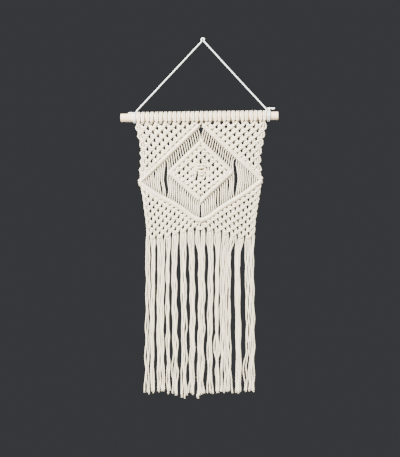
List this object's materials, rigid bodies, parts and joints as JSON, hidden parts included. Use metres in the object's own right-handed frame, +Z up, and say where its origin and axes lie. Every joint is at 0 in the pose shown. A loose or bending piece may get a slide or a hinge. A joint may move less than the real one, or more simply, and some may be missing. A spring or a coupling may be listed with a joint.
{
  "type": "macrame wall hanging on a wooden rod",
  "caption": "Knotted cotton panel with nested diamonds and a long fringe, hung from a wooden rod by a cord.",
  "frame": {"origin": "underside of the hanging cord's bend, where it rests on its nail", "axes": "+X to the right seen from the front, +Y towards the wall, +Z up"},
  "size_m": [0.3522, 0.0264, 0.8056],
  "materials": {
    "wood": "bare sanded pale wood",
    "cotton": "natural undyed cotton cord",
    "hanging_cotton": "whiter cotton cord, pulled tight"
  },
  "bodies": {
    "root": {"rod": "wood", "lark_head_row": "cotton", "knotted_panel": "cotton", "fringe": "cotton", "hanging_cord": "hanging_cotton", "hitch_left": "hanging_cotton", "hitch_right": "hanging_cotton", "tail_left": "hanging_cotton", "cord_knot": "hanging_cotton", "tail_right": "hanging_cotton"}
  },
  "joints": []
}
